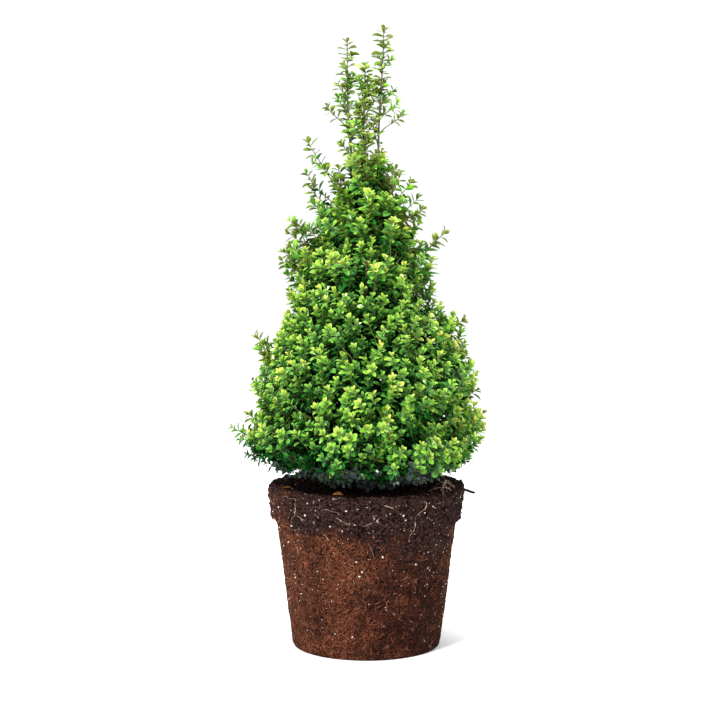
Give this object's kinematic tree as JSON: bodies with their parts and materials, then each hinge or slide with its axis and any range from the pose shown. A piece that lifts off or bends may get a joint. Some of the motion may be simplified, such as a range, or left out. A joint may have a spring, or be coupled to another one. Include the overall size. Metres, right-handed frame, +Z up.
{
  "type": "japanese holly shrub on its root ball",
  "caption": "Narrow conical evergreen shrub with small leaves and upright leader shoots, standing on the flat underside of its bare, pot-shaped root ball.",
  "frame": {"origin": "middle of the root ball's flat underside, at the level of what it stands on", "axes": "+Z up along the trunk, -Y towards the side seen in the picture, +X to its right"},
  "size_m": [0.3577, 0.3319, 0.8293],
  "materials": {
    "root_ball": "matt, crumbly and fibrous",
    "dark_root": "matt",
    "bark": "matt, finely fissured",
    "foliage": "glossy leaves"
  },
  "bodies": {
    "root": {"root_ball": "root_ball", "root_stub": "dark_root", "trunk": "bark", "leader_left": "bark", "leader_centre": "bark", "leader_right": "bark", "bough_lower_1": "bark", "bough_lower_2": "bark", "bough_lower_3": "bark", "bough_lower_4": "bark", "bough_lower_5": "bark", "bough_lower_6": "bark", "bough_middle_1": "bark", "bough_middle_2": "bark", "bough_middle_3": "bark", "bough_middle_4": "bark", "bough_middle_5": "bark", "bough_upper_1": "bark", "bough_upper_2": "bark", "bough_upper_3": "bark", "bough_upper_4": "bark", "bough_crest_1": "bark", "bough_crest_2": "bark", "bough_crest_3": "bark", "foliage_lower_1": "foliage", "foliage_lower_2": "foliage", "foliage_lower_3": "foliage", "foliage_lower_4": "foliage", "foliage_lower_5": "foliage", "foliage_lower_6": "foliage", "foliage_middle_1": "foliage", "foliage_middle_2": "foliage", "foliage_middle_3": "foliage", "foliage_middle_4": "foliage", "foliage_middle_5": "foliage", "foliage_upper_1": "foliage", "foliage_upper_2": "foliage", "foliage_upper_3": "foliage", "foliage_upper_4": "foliage", "foliage_crest_1": "foliage", "foliage_crest_2": "foliage", "foliage_crest_3": "foliage", "foliage_leader_left": "foliage", "foliage_leader_centre": "foliage", "foliage_leader_right": "foliage"}
  },
  "joints": []
}
